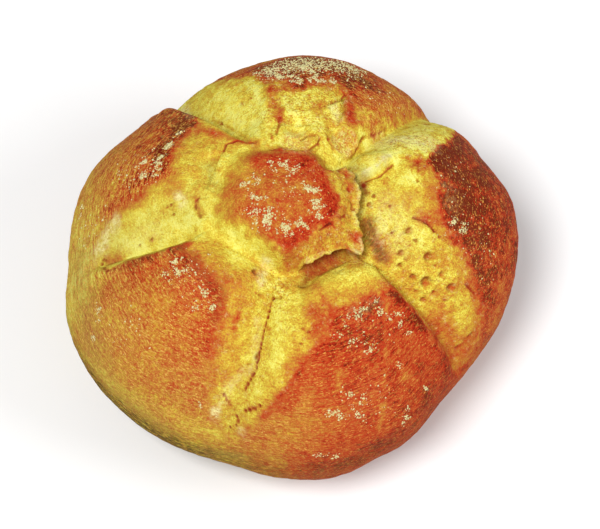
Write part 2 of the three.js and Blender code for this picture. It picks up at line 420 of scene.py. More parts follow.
class Crust:
    """The crust's points: the smooth form, the relief to add to it, and the fields that colour it."""

    FINDING_REACH = 2.5  # pixels within which the point nearest to the camera is the one that shows
    SPOT_LENGTH = 0.001  # along each axis, of the line that stands for a single point

    def __init__(self):
        meridian, down, self.faces = make_grid()
        self.place = make_places(meridian, down)
        self.points = crust_points(self.place)
        self.normals = point_normals(self.points, self.faces)
        self.pixels, self.depths = seen_at(self.points)
        self.streaks = {name: streak_points(self.place, *shares) for name, shares in STREAK_WAYS.items()}
        count = len(self.points)
        self.relief = np.zeros(count)
        self.skin = np.zeros(count)  # share of brown skin
        self.fields = {name: np.zeros(count) for name in FIELDS}
        self.noises = {}

    def by_angle(self, stations):
        return around_circle(self.place.angle, stations)

    def noise(self, length, draw):
        """Noise over the crust, worked out once for each length and draw."""
        key = (length, draw)
        if key not in self.noises:
            self.noises[key] = noise_at(self.points, length, draw)
        return self.noises[key]

    def wander(self, waves, draw):
        """Sum of waves of noise, each with its length and its reach."""
        return sum(reach * self.noise(length, draw) for length, reach in waves)

    def darken(self, share):
        """Adds painted shade, in a crack's dark colour."""
        self.fields["crack"] = np.maximum(self.fields["crack"], share)

    def spot(self, pixel):
        """The point of the crust that shows at a pixel of the photograph."""
        apart = np.hypot(*(self.pixels - pixel).T)
        shown = np.where(apart < self.FINDING_REACH, self.depths, np.inf)
        best = np.argmin(shown) if np.isfinite(shown).any() else np.argmin(apart)
        return self.points[best]

    def line(self, pixels):
        """Each point's distance from a line through the crust's points at some pixels, how far along the line
        that is, and its side: 1 to the left of the line's way, seen from above, and -1 to the right."""
        stops = [self.spot(pixel) for pixel in pixels]
        if len(stops) == 1:
            stops.append(stops[0] + self.SPOT_LENGTH)
        nearest = np.full(len(self.points), np.inf)
        along = np.zeros(len(self.points))
        side = np.ones(len(self.points))
        passed = 0.0
        for start, end in zip(stops, stops[1:]):
            way = end - start
            length = np.linalg.norm(way)
            offset = self.points - start
            share = np.clip(offset @ way / length**2, 0, 1)
            apart = np.linalg.norm(offset - share[:, None] * way, axis=1)
            closer = apart < nearest
            along = np.where(closer, passed + share * length, along)
            side = np.where(closer, np.sign(way[0] * offset[:, 1] - way[1] * offset[:, 0]), side)
            nearest = np.minimum(nearest, apart)
            passed += length
        return SimpleNamespace(apart=nearest, along=along, side=side, length=passed)

    def near(self, pixels, reach, waves):
        """1 on a line through some pixels, easing to 0 about this far from it, with a wandering edge."""
        apart = self.line(pixels).apart * (1 + MARK_WANDER * self.noise(*waves))
        return 1 - ease(apart / reach)


# Where the browned skin of the petals begins. The inner edges are distances from the centre, square to the
# button's sides, and each groove has the width of pale crumb on both sides of its valley, the radius where it
# ends, and how soft both edges are

BROWN_STARTS = {
    2: 32.8, 10: 33.6, 16: 34, 22: 32.8, 40: 32, 53: 25, 64: 30, 69: 33, 90: 32, 100: 37, 135: 26.5,
    150: 28, 166: 26, 205: 22, 220: 23.4, 240: 24.6, 258: 25, 285: 24, 299: 28, 318: 28, 329: 41, 334: 40.6,
    338: 38.6, 342: 36.6, 347: 35, 352: 33.2, 356: 32.6,
}
START_SOFTNESS = {
    10: 2, 40: 2, 84: 3, 135: 3.5, 150: 5, 172: 3.5, 205: 3, 226: 4, 270: 2.5, 285: 3, 300: 3.2, 312: 3,
    330: 5, 350: 4,
}


def pale_sides(clockwise, counter, end, soft_clockwise, soft_counter):
    """Widths of a groove's pale crumb on both sides of its valley, the radius of its end, and how soft both
    edges are."""
    return SimpleNamespace(**locals())


PALE_SIDES = [
    pale_sides(13.5, 1.6, 54, 1.2, 2.2),
    pale_sides(15, 3, 60, 3, 1.5),
    pale_sides(14.5, 2.8, 45, 5, 0.8),
    pale_sides(10.5, 14.4, 49, 3.2, 5),
    pale_sides(2.6, 16, 55.5, 2, 4.5),
]
PALE_TAPER = 3
PALE_NARROWING = 72  # degrees down where the pale crumb of the grooves begins to narrow and where it is gone
PALE_BOTTOM = 91
PALE_CLOSING = 0.6  # millimetres that its edges draw in for each degree below PALE_CLOSED
PALE_CLOSED = 83
LOW_TONE = 0.14  # how much darker the crumb is at the outer ends of the grooves
EDGE_WANDER = [(7, 1.3), (2.4, 1.3), (1, 1.1)]  # length and reach of the waves in the brown skin's edges
EDGE_DRAW = 1
WANDER_SOFTNESS = 2  # softness from which a groove's edge wanders in full

# Tones from 0, pale crumb, to 1, the darkest crust, by angle
INNER_TONES = {
    5: 1.04, 25: 1.04, 46: 0.44, 58: 0.52, 66: 0.6, 84: 0.7, 100: 0.6, 135: 1.02, 150: 0.76, 166: 0.56,
    180: 0.42, 200: 0.5, 215: 0.47, 235: 0.58, 250: 0.5, 270: 0.6, 285: 0.77, 300: 0.8, 318: 0.73,
    335: 0.72, 350: 0.92,
}
OUTER_TONES = {
    10: 0.96, 25: 0.96, 46: 0.54, 58: 0.57, 66: 0.58, 84: 0.7, 100: 0.5, 135: 0.66, 160: 0.4, 180: 0.16,
    196: 0, 205: 0.38, 225: 0.42, 240: 0.44, 252: 0.32, 262: 0.42, 272: 0.5, 285: 0.69, 300: 0.75,
    316: 0.73, 328: 0.62, 338: 0.8, 353: 0.88,
}
RIM_TONES = {
    10: 0.88, 25: 0.92, 46: 0.6, 66: 0.62, 84: 0.66, 100: 0.48, 135: 0.58, 160: 0.36, 180: 0.2, 196: 0.1,
    205: 0.3, 225: 0.2, 240: 0.24, 252: 0.28, 262: 0.46, 279: 0.76, 300: 0.84, 316: 0.84, 330: 0.62,
    353: 0.82,
}
RIM_START = 64  # degrees down where the tone of the rim begins and where it is reached
RIM_FULL = 82
PALE_TONES = {
    8: 0.08, 33: -0.06, 48: 0.02, 70: 0.08, 85: 0, 111: 0, 125: 0.02, 150: 0.1, 170: 0.03, 185: -0.03,
    200: 0, 222: 0.18, 250: 0.2, 262: 0.07, 268: 0.02, 282: 0.12, 303: 0.14, 314: 0.18, 322: 0.24,
    330: 0.14, 338: 0.11, 357: -0.04,
}
HALO_TONE = 0.4  # how much darker the crumb is beside soft edges of the skin
HALO_REACH = 3.4
HALO_SOFTNESS = 4
EDGE_TONE = 0.07  # how much darker the skin is near its edges
FLECK_TONE = 0.08  # and how much darker it is between its flecks
EDGE_PLACE = 2.2
EDGE_WIDTH = 2.4
BUTTON_TONE = 0.56
BUTTON_EDGE_TONES = {0: 0.26, 60: 0.22, 110: 0.2, 160: -0.08, 200: -0.12, 240: 0.08, 275: 0.32, 320: 0.3}
BUTTON_EDGE_START = 6
BUTTON_EDGE_WIDTH = 3.5
BUTTON_BROWN = {
    8: 12.2, 19: 11.8, 56: 11.2, 92: 11.8, 127: 11.6, 140: 11.8, 156: 12.6, 172: 13.2, 183: 13, 206: 10.4,
    232: 9.6, 255: 10.2, 277: 11, 307: 10.8, 345: 11.2,
}
BUTTON_SOFTNESS = {20: 2.5, 92: 2.5, 127: 3.5, 172: 7, 206: 5, 232: 4, 260: 3, 300: 2.4}
BUTTON_HALO = {0: 0.1, 60: 0.2, 92: 0.28, 140: 0.3, 180: 0.25, 215: 0.12, 250: 0.1, 280: 0.15}
BUTTON_HALO_REACH = 1.8
BUTTON_WANDER = [(3.1, 1.1), (1.2, 1)]
BUTTON_DRAW = 4
BEVEL_TONES = {
    20: 0.22, 60: 0.3, 110: 0.28, 150: 0.11, 185: 0.03, 212: -0.06, 240: -0.04, 262: 0.08, 290: 0.3,
    320: 0.32, 350: 0.22,
}
BEVEL_SOFTNESS = 3
BEVEL_MARGIN = 1  # how far the bevel's tone reaches past the button's foot
FLAP_SOFTNESS = 1

# How uneven the tones of the petals, of the button and of the crumb are
SKIN_ROUGHNESS = {0: 0.9, 84: 0.75, 150: 0.7, 225: 0.5, 252: 0.5, 280: 0.45, 318: 0.5, 340: 0.9}
BUTTON_ROUGHNESS = 0.7
SMOOTH_ROUGHNESS = 0.6

# Grey-green dullness and painted shade low on the sides, and how much of the surface is flecked or torn
# the grey-green dulling is partly the crust's colour and partly painted shade, most on the left
DULL_SIDES = {
    0: 0.05, 60: 0.1, 100: 0.1, 135: 0.26, 165: 0.2, 195: 0.26, 225: 0.16, 250: 0.16, 275: 0.06, 300: 0.04,
    330: 0.04,
}
DULL_START = 32
DULL_FULL = 50
SHADY_TOP = 33  # heights where the painted shade of the low sides begins and is darkest
SHADY_BOTTOM = 21
SHADY_SIDES = {
    0: 0.2, 60: 0.25, 130: 0.25, 185: 0.35, 200: 0.5, 212: 0.9, 238: 0.85, 258: 0.5, 272: 0.32, 300: 0.2,
}
SPECKLES = {
    0: 0.08, 30: 0.08, 55: 0.9, 84: 0.6, 130: 0.85, 180: 0.85, 205: 0.9, 245: 0.9, 262: 0.7, 285: 0.3,
    320: 0.25, 340: 0.4,
}
FLECKED_SKIN = {
    0: 0.5, 25: 0.5, 46: 0.4, 84: 0.5, 130: 0.6, 165: 0.6, 190: 0.5, 212: 0.2, 250: 0.2, 285: 0.35,
    320: 0.25, 345: 0.36,
}
FLECKED_BUTTON = 0.3
COMBED_SIDES = {0: 0.2, 55: 0.3, 84: 0.4, 125: 0.9, 190: 0.9, 212: 0.5, 225: 0.25, 262: 0.3, 300: 0.4}
TORN_CRUMB = {
    10: 0.6, 36: 0.8, 46: 0.25, 58: 0.3, 66: 0.8, 95: 0.8, 108: 0.4, 125: 0.3, 150: 0.3, 170: 0.2,
    195: 0.12, 215: 0.3, 250: 0.4, 275: 0.4, 300: 0.6, 315: 0.7, 330: 0.6,
}


def brown_edges(crust):
    """Share of brown skin at each point, how far it lies from the skin's edge, below 0 on pale crumb, and how
    soft that edge is."""
    place = crust.place
    wander = crust.wander(EDGE_WANDER, EDGE_DRAW)
    edge = place.distance - crust.by_angle(BROWN_STARTS) + wander
    edge = np.where(place.level > 0, edge, np.inf)
    narrowing = np.sqrt(np.clip((PALE_BOTTOM - place.down) / (PALE_BOTTOM - PALE_NARROWING), 0, 1))
    closing = PALE_CLOSING * np.maximum(0, place.down - PALE_CLOSED)
    edge_softness = crust.by_angle(START_SOFTNESS)
    skin = soft_edge(edge, edge_softness)
    for mark, pale in zip(GROOVES, PALE_SIDES):
        aside, near = beside_valley(mark, place)
        taper = np.sqrt(1 - groove_share(pale.end, place.radius) ** PALE_TAPER)
        width = np.where(aside > 0, pale.counter, pale.clockwise) * taper * narrowing
        softness = np.where(aside > 0, pale.soft_counter, pale.soft_clockwise)
        past_end = np.maximum(0, place.radius - pale.end) + closing
        from_edge = np.abs(aside) - width + past_end + wander * np.minimum(1, softness / WANDER_SOFTNESS)
        from_edge = np.where(near & (place.level > 0), from_edge, np.inf)
        skin = skin * soft_edge(from_edge, softness)
        edge_softness = np.where(from_edge < edge, softness, edge_softness)
        edge = np.minimum(edge, from_edge)
    return skin, edge, edge_softness


def petal_tones(crust, edge):
    """Tones of the brown skin, from its inner edge out to the rim."""
    place = crust.place
    outwards = ease_between(place.radius, crust.by_angle(BROWN_STARTS), place.belt)
    tone = lerp(crust.by_angle(INNER_TONES), crust.by_angle(OUTER_TONES), outwards)
    tone = lerp(tone, crust.by_angle(RIM_TONES), ease_between(place.down, RIM_START, RIM_FULL))
    return tone + FLECK_TONE * crust.by_angle(SPECKLES) + EDGE_TONE * bump(edge, EDGE_PLACE, EDGE_WIDTH)


def crumb_tones(crust, edge, softness):
    """Tones of the pale crumb, darker beside soft edges of the skin and low on the sides."""
    halo = HALO_TONE * np.minimum(1, softness / HALO_SOFTNESS) * np.exp(np.minimum(0, edge) / HALO_REACH)
    low = LOW_TONE * ease_between(crust.place.down, PALE_NARROWING, PALE_BOTTOM)
    return crust.by_angle(PALE_TONES) + halo + low


def button_skin(crust):
    """Share of the button's brown skin at each point, its tone, and the browning of the crumb beside it."""
    distance = crust.place.distance
    reach = crust.by_angle(BUTTON_BROWN) + crust.wander(BUTTON_WANDER, BUTTON_DRAW)
    share = soft_edge(reach - distance, crust.by_angle(BUTTON_SOFTNESS))
    at_edge = ease((distance - BUTTON_EDGE_START) / BUTTON_EDGE_WIDTH)
    tone = BUTTON_TONE + at_edge * crust.by_angle(BUTTON_EDGE_TONES)
    halo = crust.by_angle(BUTTON_HALO) * np.exp(-np.maximum(0, distance - reach) / BUTTON_HALO_REACH)
    return share, tone, halo


def colour_skin(crust):
    """Tones of the petals, of the crumb between them and of the button, and where each pattern shows."""
    place = crust.place
    skin, edge, softness = brown_edges(crust)
    button, button_tone, button_halo = button_skin(crust)
    crust.skin = np.maximum(skin, button)
    lifted = lifted_share(place)
    bevel = ease((BUTTON_FOOT + BEVEL_MARGIN - place.distance) / BEVEL_SOFTNESS)
    on_flap = lifted * ease((rim_radius(place) + FLAP_SOFTNESS - place.radius) / FLAP_SOFTNESS)
    brown = lerp(crumb_tones(crust, edge, softness), petal_tones(crust, edge), skin)
    brown = lerp(brown, crust.by_angle(BEVEL_TONES) + button_halo, np.maximum(bevel, on_flap))

    fields = crust.fields
    fields["brown"] = lerp(brown, button_tone, button)
    # grey-green dulling towards the rim, partly painted shade
    fields["dull"] = ease_between(place.radius, DULL_START, DULL_FULL) * crust.by_angle(DULL_SIDES)
    # painted shade, darkest low on the sides
    low = ease_between(crust.points[:, 2], SHADY_TOP, SHADY_BOTTOM)
    fields["shady"] = low * crust.by_angle(SHADY_SIDES)
    fields["speckle"] = skin * crust.by_angle(SPECKLES)
    fields["fleck"] = np.maximum(skin * crust.by_angle(FLECKED_SKIN), FLECKED_BUTTON * button)
    fields["comb"] = skin * crust.by_angle(COMBED_SIDES)
    smooth = np.maximum(crust.skin, bevel * (1 - lifted))
    fields["torn"] = crust.by_angle(TORN_CRUMB) * (1 - smooth) * ease(place.level / BELT_FADE)
    rough = lerp(SMOOTH_ROUGHNESS, crust.by_angle(SKIN_ROUGHNESS), skin)
    fields["rough"] = np.maximum.reduce([fields["torn"], rough, BUTTON_ROUGHNESS * button])


# Relief and stains of the small marks, placed by the pixels of the photograph where they show

PORES = [  # pixel, width, depth
    ((425, 284), 3.2, 1.5), ((452, 287), 2.4, 1.2), ((429, 255), 2.6, 1.2), ((402, 251), 1.8, 1),
    ((409, 230), 2, 0.9), ((412, 279), 1.8, 1.1), ((400, 267), 1.5, 0.9), ((443, 276), 1.6, 0.8),
    ((423, 301), 1.6, 0.8), ((257, 271), 2, 1.3), ((140, 248), 0.9, 0.5), ((150, 241), 1, 0.5),
    ((172, 215), 0.9, 0.5), ((170, 204), 0.8, 0.5), ((166, 207), 0.7, 0.4), ((219, 125), 1.3, 0.8),
    ((302, 327), 0.8, 0.4), ((310, 331), 0.8, 0.4), ((302, 344), 0.8, 0.4), ((256, 357), 1.9, 1),
    ((105, 260), 0.9, 0.6), ((251, 97), 1, 0.4), ((240, 103), 1, 0.4), ((418, 240), 1, 0.6),
    ((436, 266), 0.9, 0.5), ((392, 232), 1.1, 0.6), ((405, 262), 0.9, 0.5), ((416, 292), 1, 0.6),
    ((390, 205), 1, 0.5), ((372, 195), 1.2, 0.6), ((368, 204), 1.4, 0.7), ((435, 293), 1, 0.6),
    ((446, 301), 0.9, 0.5),
]

BUBBLES = [((297, 137), 8.6, 1.3), ((346, 139), 6.4, 1)]  # the same for the two that burst on the back petal

SEAMS = [  # width, depth, darkness of the painted shade in the middle, spacing of the dots or 0, pixels
    (0.8, 0.45, 1, 1.4, (271, 297), (263, 326), (259, 345), (256, 357), (254, 369), (248, 380), (244, 390)),
    (0.7, 0.4, 1, 1.5, (226, 395), (230, 404), (236, 419), (237, 425), (228, 427)),
    (0.7, 0.4, 1, 1.5, (244, 412), (252, 409), (259, 406)),
    (0.7, 0.5, 0.5, 2.4, (197, 196), (193, 201), (195, 208), (199, 215)),
    (0.7, 0.6, 0.7, 0, (322, 231), (332, 223), (347, 216)),
    (0.8, 0.4, 0.4, 3, (344, 163), (350, 186), (355, 212)),
    (0.7, 0.4, 0.4, 2.6, (338, 168), (345, 190)),
    (0.7, 0.5, 0.6, 0, (356, 177), (366, 178), (380, 172), (391, 162)),
    (0.9, 0.5, 0.7, 3.6, (357, 152), (365, 139), (376, 135), (385, 130), (405, 126), (430, 122)),
    (0.8, 0.5, 0.2, 0, (194, 116), (210, 120), (219, 125), (235, 132), (254, 140)),
    (0.7, 0.5, 0.6, 0, (326, 103), (345, 94)),
    (0.7, 0.5, 0.5, 0, (283, 116), (275, 133)),
    (0.7, 0.5, 0.4, 0, (457, 349), (474, 333)),
    (0.7, 0.4, 0.6, 0, (468, 285), (476, 293)),
    (0.7, 0.4, 0.6, 2.5, (419, 160), (419, 180)),
    (0.8, 0.6, 0.7, 0, (414, 216), (428, 222), (441, 236)),
    (0.5, 0.4, 0.7, 0, (223, 149), (226, 142), (233, 139), (239, 138), (252, 140)),
    (0.6, 0.6, 0.8, 0, (102, 258), (100, 264), (104, 269), (113, 267)),
    (0.9, 0.6, 0.3, 0, (262, 296), (270, 297), (279, 296)),
    (0.5, 0.5, 0.6, 0, (298, 149), (311, 148), (319, 142), (321, 137)),
    (0.7, 0.4, 0.3, 0, (331, 128), (329, 138), (335, 147)),
    (0.9, 0.7, 0.3, 0, (303, 134), (309, 131), (315, 133)),
]

# Rise on the left of the way and drop on the right, how far both reach, browning of both, pixels
LEDGES = [
    (1.3, 1, 2.5, -0.05, 0.1, (354, 174), (365, 175), (380, 169), (392, 157)),
    (0.5, 0.8, 2.5, 0.15, -0.1, (331, 82), (342, 92), (345, 100), (345, 113), (337, 125)),
    (0.5, 0.5, 1.8, -0.1, 0.04, (223, 149), (214, 168), (207, 188)),
    (0.5, 0.3, 2, 0, 0.1, (441, 238), (428, 223), (413, 215)),
    (0.5, 0.4, 1.6, -0.05, 0.3, (396, 153), (409, 155), (423, 158), (440, 152)),
]

SWELLS = [  # rise, or depth below 0, radius, pixels
    (-1.2, 1.6, (304, 281), (313, 270), (326, 264), (344, 256)),
    (1.1, 3, (316, 292), (337, 280), (362, 272)),
    (-1.6, 1.3, (359, 179), (362, 188)),
    (-1.1, 2.1, (208, 160), (212, 178)),
    (0.6, 1.6, (268, 86), (266, 118)),
    (-0.6, 5, (305, 98), (312, 112)),
    (1, 3, (364, 158), (380, 157)),
    (1.1, 5.5, (158, 121)),
    (0.6, 2, (168, 112)),
]

STAINS = {  # by field: amount, radius, pixels
    "brown": [
        (0.5, 1.5, (110, 261), (118, 259)), (0.25, 5, (440, 318), (456, 345)),
        (0.3, 0.7, (241, 313), (237, 322), (235, 330)), (-0.15, 1.8, (446, 144)), (0.5, 1.5, (358, 237)),
        (0.15, 4, (300, 472), (345, 465), (380, 448)), (0.4, 1.8, (264, 76), (271, 92), (275, 115)),
        (0.45, 1.3, (200, 129), (219, 132), (233, 136), (252, 142)),
        (0.35, 0.9, (194, 197), (197, 206), (201, 212)), (0.2, 2.2, (292, 256), (284, 284)),
        (0.25, 2.2, (350, 84), (351, 118)),
        (0.2, 2.2, (178, 250), (197, 274), (219, 295), (217, 316), (209, 352)),
        (0.06, 2.5, (130, 265), (178, 248)), (-0.3, 1.5, (406, 378)), (-0.25, 0.8, (340, 375), (340, 390)),
        # The second stain below is painted shade in the hollow under the flap's lower edge; the one after it
        # is the flap's painted shadow beside it.
        (-0.25, 0.8, (386, 403), (380, 429)), (0.4, 1.6, (314, 268), (326, 262), (345, 254)),
        (0.5, 2.2, (368, 222), (374, 240), (383, 260)), (0.2, 2.6, (418, 163), (434, 180), (440, 203)),
        (0.06, 4, (428, 226), (446, 250), (458, 280)), (-0.08, 3, (460, 300), (466, 326)),
        # The second stain below is painted shade in the crease along the lower left petal's top edge.
        (0.15, 2, (476, 290), (478, 322), (470, 350)), (0.25, 0.8, (110, 269), (150, 256), (190, 242)),
        (0.04, 3, (345, 170), (352, 200), (355, 225)), (-0.12, 4, (226, 403), (236, 420)),
        (0.3, 0.9, (300, 370), (286, 391), (262, 417)), (-0.1, 2.2, (236, 121), (254, 130)),
        (0.3, 1.6, (312, 306), (319, 320), (317, 332)),
        # Painted shade in the crease along the lower right petal's edge.
        (0.2, 1.2, (386, 286), (400, 298), (430, 330), (462, 370)),
        (0.3, 1.5, (272, 89), (290, 85), (312, 83), (330, 85)), (0.2, 1.5, (284, 110), (276, 128)),
        (0.22, 1.3, (322, 99), (318, 112)), (0.12, 2.2, (205, 139), (236, 148)),
        (0.25, 2.2, (186, 122), (162, 147), (158, 170), (131, 184), (113, 196), (102, 214)),
        (0.4, 6, (275, 66), (310, 60), (352, 70)), (0.35, 2.2, (430, 216), (444, 222), (454, 234)),
        (0.12, 2, (396, 288), (432, 322), (442, 332)), (0.12, 2, (398, 306), (420, 326), (440, 346)),
        (-0.25, 0.5, (389, 300), (387, 330), (386, 386)), (-0.32, 3, (367, 112), (368, 132)),
        (0.25, 2.5, (340, 80), (358, 80), (376, 88)), (0.15, 1.6, (350, 170), (352, 186)),
        (0.3, 1.6, (351, 104), (352, 120)), (-0.25, 2.2, (250, 78), (258, 86)),
        (0.14, 2.2, (112, 213), (135, 198), (160, 190), (178, 190)), (-0.2, 2.6, (220, 430), (228, 436)),
        (-0.2, 1.8, (396, 306), (404, 313)), (0.22, 1.6, (299, 277), (308, 270)), (-0.15, 2.5, (383, 112)),
        (-0.15, 2, (368, 144)), (-0.28, 2.4, (236, 158), (243, 164)), (-0.18, 2, (231, 250), (246, 262)),
        (0.1, 3.2, (95, 290), (125, 282), (150, 274), (180, 268)),
        (0.18, 2.4, (292, 380), (288, 394), (280, 407)), (0.12, 3.5, (400, 206), (418, 210)),
        (-0.15, 2.5, (412, 176)), (-0.12, 1.5, (118, 259), (140, 251)), (-0.2, 2.5, (346, 274), (368, 271)),
    ],
    # Painted shade: the grey-green stains in the back left valley, beside the flap, under the ledge and in
    # the hollow
    # left of the button. The others make the crust greyer and darker.
    "dull": [
        (0.1, 4, (165, 118), (190, 128)), (0.24, 6, (115, 240), (190, 205)),
        (0.12, 2.5, (190, 112), (230, 128)), (0.2, 1.8, (368, 220), (373, 240), (381, 258)),
        (0.35, 2, (200, 452), (236, 458)), (0.5, 1.3, (354, 168), (363, 170)),
        (0.28, 1.8, (209, 161), (213, 177)),
        (0.22, 6, (78, 262), (80, 300), (90, 345), (112, 388), (155, 426)),
    ],
    "dry": [
        (0.6, 2, (112, 222), (100, 244)), (0.3, 1.1, (260, 321), (251, 365), (232, 385), (216, 415)),
        (0.55, 3.2, (384, 140), (408, 138), (430, 142)), (0.5, 1.8, (360, 254)),
        (0.12, 5, (400, 215), (395, 240)), (0.6, 1.5, (266, 262), (263, 280)),
        (0.7, 1.1, (176, 195), (181, 202)), (0.12, 3, (384, 200), (394, 235)),
        (0.6, 1.2, (217, 412), (214, 420)), (0.5, 1.2, (240, 432), (243, 440)),
        (0.12, 2.5, (125, 246), (152, 232)), (0.5, 1.2, (335, 105), (338, 116)),
        # The second stain below is a painted highlight along the lit lower edge of the ledge.
        (0.6, 1.4, (181, 107), (190, 114)), (0.8, 0.6, (364, 172), (379, 166), (391, 156)),
        (0.7, 0.5, (360, 199), (371, 204)), (0.12, 3.2, (275, 67), (310, 61), (350, 68)),
        (0.25, 3, (92, 250), (84, 270)), (0.25, 1.5, (378, 218), (382, 240)),
    ],
    "torn": [
        (0.4, 4, (384, 140), (430, 143)), (0.7, 4, (288, 258), (276, 287)),
        (-0.6, 4.5, (318, 287), (366, 280)), (-0.4, 7, (395, 180), (425, 195)),
        (-0.8, 3.5, (362, 160), (382, 158)),
    ],
    # painted shade in the crack under the flap and in the cavity beside it
    "crack": [
        (0.6, 1, (302, 282), (306, 272), (312, 267)), (0.25, 1.2, (312, 268), (326, 261), (345, 253)),
        (0.8, 1.3, (358, 179), (363, 180)), (0.8, 0.9, (363, 184), (364, 192)),
    ],
    # painted shade along the lower left petal's upper edges, and the flap's painted shadow on the slope
    # beside it
    "shady": [
        (0.2, 1.6, (180, 244), (200, 271), (219, 290), (213, 318)), (0.25, 1.5, (120, 266), (176, 247)),
        (0.45, 1.6, (367, 220), (372, 240), (380, 256)),
        (0.1, 3, (95, 290), (125, 282), (150, 274), (180, 268)),
    ],
}

FLOUR = [  # grains, radius, pixels
    (65, 1.6, (272, 163), (288, 165)), (50, 1.4, (246, 181), (262, 176)), (40, 1.4, (252, 197), (265, 195)),
    (65, 1.5, (248, 209), (267, 210)), (52, 1.6, (259, 222), (272, 222)),
    (120, 1.6, (276, 218), (290, 226)), (48, 1.2, (293, 224), (306, 222)),
    (170, 1.4, (311, 182), (317, 194), (318, 212)), (20, 2, (296, 166), (308, 167)),
    (70, 1.5, (173, 259), (181, 268)), (10, 0.9, (163, 273)), (20, 1.2, (201, 289)), (12, 1, (191, 306)),
    (18, 1, (206, 305), (211, 305)), (18, 1, (95, 307), (96, 315)), (12, 0.8, (92, 338)),
    (8, 0.7, (198, 408)), (50, 1.5, (350, 322), (366, 312)), (8, 1, (377, 302), (384, 302)),
    (24, 1.2, (383, 310), (390, 320)), (35, 1.2, (399, 316), (407, 328)), (16, 1.2, (339, 338), (361, 339)),
    (16, 1.2, (372, 335), (371, 347)), (15, 1, (350, 394)), (15, 1, (362, 401)),
    (60, 1.4, (333, 416), (360, 417)), (10, 0.8, (401, 365)), (30, 1.2, (409, 412), (405, 424)),
    (8, 0.6, (426, 390)), (25, 1.2, (321, 457), (335, 457)), (50, 1.3, (457, 221), (463, 225)),
    (110, 1.1, (279, 75), (300, 78)), (90, 1.1, (310, 77), (332, 79)), (130, 2, (303, 62), (308, 70)),
    (75, 0.7, (180, 131), (173, 139), (165, 148)),
    (75, 0.8, (162, 153), (157, 160), (160, 168), (153, 171)), (40, 0.8, (138, 163), (147, 159)),
    (35, 0.8, (142, 174), (148, 171)), (12, 0.8, (81, 206)), (8, 0.6, (77, 218)),
]

SPRINKLES = [  # the same for grains that lie apart
    (720, 4.8, (279, 68), (308, 61), (344, 66)), (35, 6, (452, 165), (462, 215), (476, 262)),
    (20, 4, (290, 190)), (10, 6, (370, 330)), (25, 7, (370, 400)), (30, 6, (190, 280)), (30, 6, (130, 170)),
    (20, 5, (90, 225)), (12, 5, (385, 95)), (20, 7, (120, 330)),
]

# Length of each noise's waves and number of its draw. The two lists have the height of the waves before them
PORE_WAVES = (1.3, 6)
SEAM_WAVES = (1.6, 7)
DOT_WAVES = (3.2, 8)
STAIN_WAVES = (2.6, 9)
CLUMP_WAVES = (1.3, 15)
SWELL_WAVES = (3.4, 16)
FLAP_WAVES = (2.2, 17)
BUBBLE_WAVES = (3.4, 18)
BUBBLE_RIM_WAVES = (2.2, 19)
SKIN_WAVES = [(0.25, 8.5, 10), (0.15, 2.6, 11), (0.09, 1.1, 12)]
RIDGE_WAVES = [(0.5, 2.6, 13), (0.35, 1.1, 14)]

# Rings have their middles and widths, and parts their starts and ends, as shares of a pore's or a bubble's
# radius or of the flap's cliff. Patches and sides have the level and the contrast of what fades there
PORE_WANDER = 0.3
PORE_FLOOR = 0.8
PORE_LIP = 0.25
PORE_LIP_RING = (1.2, 0.35)
PORE_BROWN = 0.4
PORE_DARKNESS = 0.9
PORE_DARK_RING = (0.65, 0.3)
PORE_DARK_SIDE = (0.4, 0.8)
BUBBLE_WANDER = 0.15
BUBBLE_RIM = 0.35  # rise of a bubble's rim, as a share of its depth
BUBBLE_RIM_RING = (1.1, 0.14)
BUBBLE_SMOOTHNESS = 1.2
BUBBLE_SMOOTH_PART = (0.5, 1.5)
BUBBLE_PALENESS = 0.1
BUBBLE_PALE_PART = (0.5, 1)
BUBBLE_DULLNESS = 0.3
BUBBLE_DULL_RING = (0.55, 0.3)
BUBBLE_BROWN = 0.4
BUBBLE_BROWN_RING = (1.25, 0.12)
BUBBLE_BROWN_PATCHES = (0.3, 1.5)
FLAP_LIP = 0.5
FLAP_LIP_RING = (0.1, 0.25)
FLAP_UNDERCUT = 1.4
FLAP_UNDERCUT_RING = (0.65, 0.3)
FLAP_DARKNESS = 0.6
FLAP_DARK_RING = (0.75, 0.5)
FLAP_DRYNESS = 0.5
FLAP_PALENESS = 0.25
FLAP_EDGE_RING = (-0.05, 0.14)
FLAP_EDGE_PATCHES = (0.6, 1.4)

SEAM_WANDER = 0.35
SEAM_SOFTNESS = 0.15
SEAM_BROWN = 0.6
DOT_WANDER = 4
DOT_JOINING = 0.25  # how far the dots of a seam run together
LEDGE_FADE = 2  # length over which a ledge rises from its ends
MARK_REACH = 1.6  # radii from its line at which a swell or stain is gone
FLOUR_REACH = 1.5
SKIN_SHINE = 0.8  # share of the dry crumb's whiteness that brown skin doesn't take
TEXTURE_START = 4  # height from which the texture has its full depth
RIDGE_SHARE = 0.35
RIDGE_TONE = 0.45
CLUMP_PATCHES = (0.1, 3)
SPRINKLE_SHARE = 0.2  # of the film that a clumpy patch has
FLOUR_FILM = 0.08
FLOUR_SHADE = 0.08
TINY = 1e-6


def burst(crust, pixel, width, ragged, way):
    """Each point's distance from a burst bubble's middle, as a share of the bubble's radius, and how much of
    its offset from the middle runs this way."""
    offset = crust.points - crust.spot(pixel)
    apart = np.linalg.norm(offset, axis=1)
    return apart / (width / 2) * ragged, offset @ way / np.maximum(apart, TINY)


def add_pores(crust):
    """Small burst bubbles, brown inside, with a painted shadow, a dark crescent, where their upper left sides
    overhang.
    """
    ragged = 1 + PORE_WANDER * crust.noise(*PORE_WAVES)
    for pixel, width, depth in PORES:
        share, upper_left = burst(crust, pixel, width, ragged, VIEW_UP - VIEW_RIGHT)
        inside = 1 - ease(share)
        crust.relief -= depth * (PORE_FLOOR * inside - PORE_LIP * bump(share, *PORE_LIP_RING))
        crust.fields["brown"] += PORE_BROWN * inside
        crust.darken(PORE_DARKNESS * bump(share, *PORE_DARK_RING) * patchy(upper_left, *PORE_DARK_SIDE))


